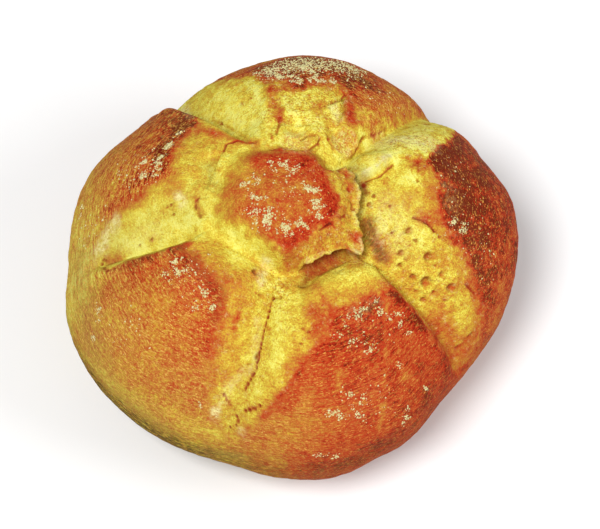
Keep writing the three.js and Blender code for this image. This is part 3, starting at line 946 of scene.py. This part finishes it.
def add_bubbles(crust):
    """Wide burst bubbles: smooth and pale inside, with painted shade under their upper sides, and a browned
    rim.
    """
    ragged = 1 + BUBBLE_WANDER * crust.noise(*BUBBLE_WAVES)
    patches = patchy(crust.noise(*BUBBLE_RIM_WAVES), *BUBBLE_BROWN_PATCHES)
    for pixel, width, depth in BUBBLES:
        share, upper = burst(crust, pixel, width, ragged, VIEW_UP)
        crust.relief += depth * (BUBBLE_RIM * bump(share, *BUBBLE_RIM_RING) - (1 - ease(share)))
        crust.fields["torn"] -= BUBBLE_SMOOTHNESS * (1 - ease_between(share, *BUBBLE_SMOOTH_PART))
        crust.fields["brown"] -= BUBBLE_PALENESS * (1 - ease_between(share, *BUBBLE_PALE_PART))
        crust.fields["dull"] += BUBBLE_DULLNESS * bump(share, *BUBBLE_DULL_RING) * ease(upper)
        crust.fields["brown"] += BUBBLE_BROWN * bump(share, *BUBBLE_BROWN_RING) * patches


def add_seams(crust):
    """Cracks and rows of dots: narrow grooves, brown at their sides, with painted shade in their middles."""
    for width, depth, darkness, spacing, *pixels in SEAMS:
        line = crust.line(pixels)
        apart = np.abs(line.apart + SEAM_WANDER * width * crust.noise(*SEAM_WAVES))
        share = 1 - ease(apart / (width / 2 + SEAM_SOFTNESS))
        if spacing:
            turn = 2 * np.pi * line.along / spacing + DOT_WANDER * crust.noise(*DOT_WAVES)
            dots = 0.5 + 0.5 * np.cos(turn)
            share = share * ease(DOT_JOINING + dots)
        crust.relief -= depth * share
        crust.fields["brown"] += SEAM_BROWN * darkness * share
        crust.darken(darkness * share**2)


def add_ledges(crust):
    for rise, drop, reach, left_tone, right_tone, *pixels in LEDGES:
        line = crust.line(pixels)
        from_end = np.minimum(line.along, line.length - line.along)
        fade = ease(from_end / LEDGE_FADE) * np.exp(-line.apart / reach)
        crust.relief += fade * np.where(line.side > 0, rise, -drop)
        crust.fields["brown"] += fade * np.where(line.side > 0, left_tone, right_tone)


def add_swells(crust):
    for rise, radius, *pixels in SWELLS:
        crust.relief += rise * crust.near(pixels, MARK_REACH * radius, SWELL_WAVES)


def add_stains(crust):
    for field, rows in STAINS.items():
        for amount, radius, *pixels in rows:
            crust.fields[field] += amount * crust.near(pixels, MARK_REACH * radius, STAIN_WAVES)
    crust.fields["dry"] *= 1 - SKIN_SHINE * crust.skin


def flour_chances(crust):
    """Grains of each patch of flour, and the chance that one lies at each point. Most patches are clumpy."""
    clumps = patchy(crust.noise(*CLUMP_WAVES), *CLUMP_PATCHES)
    for patches, share in ((FLOUR, clumps), (SPRINKLES, SPRINKLE_SHARE)):
        for grains, radius, *pixels in patches:
            yield grains, crust.near(pixels, FLOUR_REACH * radius, STAIN_WAVES) * share


def add_flour_film(crust):
    """Whitens the crust between the grains of flour."""
    for _, chance in flour_chances(crust):
        crust.fields["dry"] = np.maximum(crust.fields["dry"], FLOUR_FILM * chance)
        crust.fields["brown"] += FLOUR_SHADE * chance


def add_texture(crust):
    """Lumps and pimples of the skin, and the ridges and pits of torn crumb."""
    skin = sum(height * crust.noise(length, draw) for height, length, draw in SKIN_WAVES)
    ridges = 0
    for height, length, draw in RIDGE_WAVES:
        waves = noise_at(crust.streaks["outward"], length, draw)
        ridges = ridges + height * (RIDGE_SHARE - np.abs(waves))
    full = ease(crust.points[:, 2] / TEXTURE_START)
    crust.relief += full * (skin + crust.fields["torn"] * ridges)
    crust.fields["brown"] -= RIDGE_TONE * crust.fields["torn"] * ridges


def add_undercut(crust):
    """Draws the foot of the button's lifted rim in under it, with painted shade there, and pales the rim's
    torn edge.
    """
    place = crust.place
    lifted = lifted_share(place)
    share = (place.radius - rim_radius(place)) / LIFTED_CLIFF
    undercut = FLAP_UNDERCUT * bump(share, *FLAP_UNDERCUT_RING)
    amount = lifted * (FLAP_LIP * bump(share, *FLAP_LIP_RING) - undercut)
    crust.points += circle_points(place.angle, amount)
    crust.darken(lifted * FLAP_DARKNESS * bump(share, *FLAP_DARK_RING))
    on_edge = lifted * bump(share, *FLAP_EDGE_RING) * patchy(crust.noise(*FLAP_WAVES), *FLAP_EDGE_PATCHES)
    crust.fields["dry"] += FLAP_DRYNESS * on_edge
    crust.fields["brown"] -= FLAP_PALENESS * on_edge


def make_crust():
    crust = Crust()
    colour_skin(crust)
    add_pores(crust)
    add_bubbles(crust)
    add_seams(crust)
    add_ledges(crust)
    add_swells(crust)
    add_stains(crust)
    add_flour_film(crust)
    add_texture(crust)
    add_undercut(crust)
    crust.points = crust.points + crust.normals * crust.relief[:, None]
    return crust


# Materials

NOISE_RANGE = (0.28, 0.72)  # where most of a noise texture's values lie
SURFACE_INPUTS = {
    "colour": "Base Color", "roughness": "Roughness", "specular": "Specular IOR Level", "normal": "Normal",
}


def srgb(red, green, blue):
    """A colour of 0 to 255, as seen, in the linear values that a shader takes."""
    shares = [value / 255 for value in (red, green, blue)]
    return [share / 12.92 if share < 0.04045 else ((share + 0.055) / 1.055) ** 2.4 for share in shares] + [1]


def pattern(length, low, high, detail=2, roughness=0.55, streaks=None):
    """Noise from low to high, with patches of about this many millimetres, and the way its streaks run."""
    return SimpleNamespace(**locals())


class Shader:
    """A material's node tree, with short calls for the nodes that it needs."""

    def __init__(self, name):
        self.material = bpy.data.materials.new(name)
        self.material.use_nodes = True
        self.tree = self.material.node_tree
        self.surface = self.tree.nodes["Principled BSDF"]
        self.where = self.tree.nodes.new("ShaderNodeTexCoord").outputs["Object"]

    def put(self, node_input, value):
        if isinstance(value, bpy.types.NodeSocket):
            self.tree.links.new(value, node_input)
        else:
            node_input.default_value = value

    def node(self, kind, inputs, output=0, **settings):
        made = self.tree.nodes.new(kind)
        for name, value in settings.items():
            setattr(made, name, value)
        for key, value in inputs.items():
            self.put(made.inputs[key], value)
        return made.outputs[output]

    def attribute(self, name, output="Fac"):
        return self.node("ShaderNodeAttribute", {}, output=output, attribute_name=name)

    def sum(self, a, b):
        return self.node("ShaderNodeMath", {0: a, 1: b}, operation="ADD")

    def times(self, a, b):
        return self.node("ShaderNodeMath", {0: a, 1: b}, operation="MULTIPLY")

    def mottle(self, kind):
        where = self.attribute(kind.streaks, "Vector") if kind.streaks else self.where
        settings = {"Scale": 1 / (kind.length * MM), "Detail": kind.detail, "Roughness": kind.roughness}
        noise_texture = self.node("ShaderNodeTexNoise", {"Vector": where, **settings})
        return self.spread(noise_texture, *NOISE_RANGE, kind.low, kind.high)

    def spread(self, value, start, end, low, high):
        """Maps the range from start to end to the range from low to high."""
        span = {"Value": value, "From Min": start, "From Max": end, "To Min": low, "To Max": high}
        return self.node("ShaderNodeMapRange", span)

    def lines(self, kind, width):
        """Thin wandering lines, 1 along their middles, where noise crosses 0."""
        level = self.node("ShaderNodeMath", {0: self.mottle(kind)}, operation="ABSOLUTE")
        return self.spread(level, 0, width, 1, 0)

    def mix(self, share, a, b):
        factor, first, second, result = 0, 6, 7, 2  # sockets of a Mix node that mixes colours
        inputs = {factor: share, first: a, second: b}
        return self.node("ShaderNodeMix", inputs, output=result, data_type="RGBA")

    def cover(self, colour, field, cover_colour, kind=None):
        """Lays a colour over another as far as a field says, broken up by a pattern."""
        share = self.attribute(field)
        if kind:
            share = self.times(share, self.mottle(kind))
        return self.mix(share, colour, cover_colour)

    def ramp(self, share, stops):
        output = self.node("ShaderNodeValToRGB", {"Fac": share})
        elements = output.node.color_ramp.elements
        while len(elements) < len(stops):
            elements.new(0.5)
        for element, (position, colour) in zip(elements, stops):
            element.position = position
            element.color = colour
        return output

    def bump(self, height, depth):
        return self.node("ShaderNodeBump", {"Height": height, "Distance": depth * MM, "Strength": 1.0})

    def finish(self, **values):
        """Sets inputs of the surface and returns the material."""
        for name, value in values.items():
            self.put(self.surface.inputs[SURFACE_INPUTS[name]], value)
        return self.material


TONE_START = -0.2
BAKED_TONES = [
    (-0.2, srgb(241, 237, 122)),
    (0.0, srgb(229, 215, 82)),
    (0.1, srgb(217, 192, 65)),
    (0.2, srgb(209, 171, 57)),
    (0.3, srgb(201, 149, 50)),
    (0.45, srgb(193, 120, 46)),
    (0.6, srgb(186, 88, 38)),
    (0.75, srgb(186, 56, 28)),
    (0.9, srgb(162, 39, 19)),
    (1.0, srgb(112, 27, 12)),
]
BLOTCHES = pattern(1.8, -1, 1, detail=4, roughness=0.7)
GRAIN = pattern(0.36, -1, 1)
STREAKS = pattern(0.6, -1, 1, detail=3, roughness=0.75, streaks="around")
PATCHES = pattern(4.5, -0.25, 0.25, detail=3)
BLOTCH_TONE = 0.23  # what the first three patterns add to the tone, where PATCHES counts in full
GRAIN_TONE = 0.22
STREAK_TONE = 0.17
TONE_LAYERS = [  # field, and the pattern that it adds to the tone
    ("torn", pattern(1.2, -0.25, 0.25, detail=4, roughness=0.7, streaks="outward")),
    ("comb", pattern(0.5, -0.532, 0.532, detail=3, roughness=0.75, streaks="combed")),
    ("speckle", pattern(0.62, -0.308, 0.21, detail=3, roughness=0.8, streaks="outward")),
]
DRY_COLOUR = srgb(238, 228, 156)
SKIN_LAYERS = [  # field, colour, and the pattern that breaks the colour up
    # grey-green dulling, partly painted shade
    ("dull", srgb(140, 122, 66)),
    ("speckle", srgb(222, 178, 84), pattern(0.5, -2.4, 1.8, detail=3, roughness=0.8, streaks="around")),
    ("fleck", srgb(230, 168, 78), pattern(0.42, -7, 2.9, roughness=0.7, streaks="around")),
    ("torn", DRY_COLOUR, pattern(1, -1.4, 0.8, detail=4, roughness=0.75, streaks="outward")),
    ("dry", DRY_COLOUR, pattern(1.1, -0.4, 2, detail=3, roughness=0.7)),
    ("torn", srgb(196, 112, 44), pattern(0.45, -2.6, 1.5, roughness=0.7)),
]
LINES = pattern(4, -1, 1, detail=3)
LINE_WIDTH = 0.1
LINE_BREAKS = pattern(2.6, -0.8, 1)
LINE_COLOUR = srgb(150, 66, 26)
DARK_LAYERS = [  # painted shade of cracks and hollows, and of the low sides and creases, over the lines
    ("crack", srgb(134, 48, 24)),
    ("shady", srgb(92, 72, 30), pattern(0.9, -0.5, 2.5, detail=4, roughness=0.75, streaks="around")),
]
PALE_ROUGHNESS = 0.85
BAKED_ROUGHNESS = 0.6
CRUST_SPECULAR = 0.02
GRAIN_HEIGHT = 0.6  # as a share of the blotches' height
BUMP_DEPTH = 0.13

FLOUR_COLOURS = (srgb(226, 223, 172), srgb(208, 192, 126))
FLOUR_MOTTLE = pattern(0.8, 0, 1)
FLOUR_ROUGHNESS = 0.9
FLOUR_SPECULAR = 0.2


def baked_tone(shader, blotches, grain):
    """The tone from the mesh's fields, made uneven by patterns."""
    weighted = ((blotches, BLOTCH_TONE), (grain, GRAIN_TONE), (shader.mottle(STREAKS), STREAK_TONE))
    unevenness = shader.mottle(PATCHES)
    for values, weight in weighted:
        unevenness = shader.sum(unevenness, shader.times(values, weight))
    tone = shader.sum(shader.attribute("brown"), shader.times(unevenness, shader.attribute("rough")))
    for field, kind in TONE_LAYERS:
        tone = shader.sum(tone, shader.times(shader.attribute(field), shader.mottle(kind)))
    return tone


def make_crust_material():
    shader = Shader("baked_crust")
    blotches = shader.mottle(BLOTCHES)
    grain = shader.mottle(GRAIN)
    tone = baked_tone(shader, blotches, grain)
    colour = shader.ramp(shader.spread(tone, TONE_START, 1, 0, 1), [
        ((stop - TONE_START) / (1 - TONE_START), colour) for stop, colour in BAKED_TONES
    ])
    for layer in SKIN_LAYERS:
        colour = shader.cover(colour, *layer)
    lines = shader.times(shader.lines(LINES, LINE_WIDTH), shader.mottle(LINE_BREAKS))
    colour = shader.mix(shader.times(lines, shader.attribute("torn")), colour, LINE_COLOUR)
    for layer in DARK_LAYERS:
        colour = shader.cover(colour, *layer)
    roughness = shader.spread(tone, 0, 1, PALE_ROUGHNESS, BAKED_ROUGHNESS)
    height = shader.sum(blotches, shader.times(grain, GRAIN_HEIGHT))
    normal = shader.bump(height, BUMP_DEPTH)
    return shader.finish(colour=colour, roughness=roughness, specular=CRUST_SPECULAR, normal=normal)


def make_flour_material():
    shader = Shader("flour")
    colour = shader.mix(shader.mottle(FLOUR_MOTTLE), *FLOUR_COLOURS)
    return shader.finish(colour=colour, roughness=FLOUR_ROUGHNESS, specular=FLOUR_SPECULAR)


# Pieces

FIELD_RANGE = (-0.5, 1.2)


def make_piece(name, points, faces, material):
    mesh = bpy.data.meshes.new(name)
    mesh.from_pydata((points * MM).tolist(), [], faces)
    mesh.shade_smooth()
    mesh.materials.append(material)
    piece = bpy.data.objects.new(name, mesh)
    bpy.context.scene.collection.objects.link(piece)
    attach(piece, "root")
    return piece


def make_roll(crust):
    roll = make_piece("rosetta_crust", crust.points, crust.faces, make_crust_material())
    for name, values in crust.fields.items():
        attribute = roll.data.attributes.new(name, "FLOAT", "POINT")
        attribute.data.foreach_set("value", np.clip(values, *FIELD_RANGE).astype(np.float32))
    for name, values in crust.streaks.items():
        attribute = roll.data.attributes.new(name, "FLOAT_VECTOR", "POINT")
        attribute.data.foreach_set("vector", (values * MM).astype(np.float32).ravel())
    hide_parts("roll")


GRAIN_SMALLEST = 0.2
GRAIN_SPREAD = 0.48  # how much wider the widest grains are, of which there are few
GRAIN_FLATNESS = 0.25
GRAIN_RARITY = 2.5  # the higher, the fewer wide grains
GRAIN_STRETCH = (0.6, 1.3)
GRAIN_JAGGEDNESS = (0.75, 1.25)
GRAIN_CORNERS = np.concatenate([np.eye(3), -np.eye(3)])  # of an octahedron of radius 1
GRAIN_FACES = np.array(
    [(0, 1, 2), (0, 5, 1), (0, 2, 4), (0, 4, 5), (3, 2, 1), (3, 1, 5), (3, 4, 2), (3, 5, 4)]
)
FLOUR_SEED = 7
GRAINS_EACH = 2  # for each of the grains that the lists count


def random_turns(draws, count):
    """Rotation matrices that turn grains every way."""
    spins = draws.normal(size=(count, 4))
    w, x, y, z = (spins / np.linalg.norm(spins, axis=1, keepdims=True)).T
    rows = [
        [1 - 2 * (y * y + z * z), 2 * (x * y - z * w), 2 * (x * z + y * w)],
        [2 * (x * y + z * w), 1 - 2 * (x * x + z * z), 2 * (y * z - x * w)],
        [2 * (x * z - y * w), 2 * (y * z + x * w), 1 - 2 * (x * x + y * y)],
    ]
    return np.array(rows).transpose(2, 0, 1)


def scatter_flour(crust):
    """Grains of flour on the crust's triangles: squashed octahedra, each stretched and turned its own way."""
    draws = np.random.default_rng(FLOUR_SEED)
    halves = [half for face in crust.faces for half in (face[:3], face[2:] + face[:1])]
    triangles = np.array([half for half in halves if len(half) == 3])
    corners = crust.points[triangles]
    spans = np.cross(corners[:, 1] - corners[:, 0], corners[:, 2] - corners[:, 0])
    areas = np.linalg.norm(spans, axis=1)
    chosen = []
    for grains, chance in flour_chances(crust):
        weight = chance[triangles].mean(1) * areas
        chosen.append(draws.choice(len(weight), size=GRAINS_EACH * grains, p=weight / weight.sum()))
    chosen = np.concatenate(chosen)
    count = len(chosen)
    shares = draws.dirichlet((1, 1, 1), size=count)
    centres = np.einsum("gc,gci->gi", shares, corners[chosen])
    normals = crust.normals[triangles[chosen, 0]]
    rarity = draws.uniform(size=(count, 1, 1)) ** GRAIN_RARITY
    sizes = (GRAIN_SMALLEST + GRAIN_SPREAD * rarity) / 2
    stretches = draws.uniform(*GRAIN_STRETCH, size=(count, 1, 3))
    jags = draws.uniform(*GRAIN_JAGGEDNESS, size=(count, len(GRAIN_CORNERS), 1))
    bodies = GRAIN_CORNERS[None] * stretches * jags * sizes
    bodies = np.einsum("gij,gpj->gpi", random_turns(draws, count), bodies)
    rises = np.einsum("gpi,gi->gp", bodies, normals)[:, :, None]
    bodies -= GRAIN_FLATNESS * rises * normals[:, None]
    points = (bodies + centres[:, None]).reshape(-1, 3)
    firsts = np.arange(count)[:, None, None] * len(GRAIN_CORNERS)
    faces = (GRAIN_FACES[None] + firsts).reshape(-1, 3)
    make_piece("flour_dusting", points, faces.tolist(), make_flour_material())


# The stage, in metres

FLOOR_SIZE = 20
FLOOR_COLOUR = (0.9, 0.9, 0.9, 1)
FLOOR_ROUGHNESS = 0.9
LIGHTS = [  # name, azimuth, elevation, distance, size, power in watts
    ("key", 235, 64, 1.2, 0.45, 11.2),
    ("fill", 345, 38, 1.2, 0.6, 5.8),
]
SKY_COLOUR = (1, 1, 1, 1)
SKY_STRENGTH = 0.35
SENSOR_WIDTH = 36  # millimetres


def make_floor():
    bpy.ops.mesh.primitive_plane_add(size=FLOOR_SIZE)
    floor = bpy.context.object
    floor.name = "floor"
    material = Shader("pale_floor").finish(colour=FLOOR_COLOUR, roughness=FLOOR_ROUGHNESS)
    floor.data.materials.append(material)
    floor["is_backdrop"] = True


def make_light(name, azimuth, elevation, distance, size, power):
    lamp = bpy.data.lights.new(name, "AREA")
    lamp.shape = "DISK"
    lamp.size = size
    lamp.energy = power
    holder = bpy.data.objects.new(name, lamp)
    bpy.context.scene.collection.objects.link(holder)
    turn = math.radians(azimuth)
    tilt = math.radians(elevation)
    back = Vector((math.cos(turn) * math.cos(tilt), math.sin(turn) * math.cos(tilt), math.sin(tilt)))
    holder.location = back * distance
    holder.rotation_mode = "QUATERNION"
    holder.rotation_quaternion = back.to_track_quat("Z", "Y")


def make_world():
    world = bpy.data.worlds.new("studio")
    world.use_nodes = True
    sky = world.node_tree.nodes["Background"]
    sky.inputs["Color"].default_value = SKY_COLOUR
    sky.inputs["Strength"].default_value = SKY_STRENGTH
    bpy.context.scene.world = world


def make_camera():
    lens = bpy.data.cameras.new("camera")
    lens.sensor_width = SENSOR_WIDTH
    lens.lens = FOCAL_PIXELS / FRAME_WIDTH * lens.sensor_width
    camera = bpy.data.objects.new("camera", lens)
    bpy.context.scene.collection.objects.link(camera)
    camera.location = Vector(CAMERA_PLACE * MM)
    camera.rotation_euler = (math.radians(90 - CAMERA_ELEVATION), 0, 0)
    bpy.context.scene.camera = camera


crust = make_crust()
make_roll(crust)
scatter_flour(crust)
make_floor()
for light in LIGHTS:
    make_light(*light)
make_world()
make_camera()
bpy.context.scene.view_settings.view_transform = "Standard"

visual_low, visual_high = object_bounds()
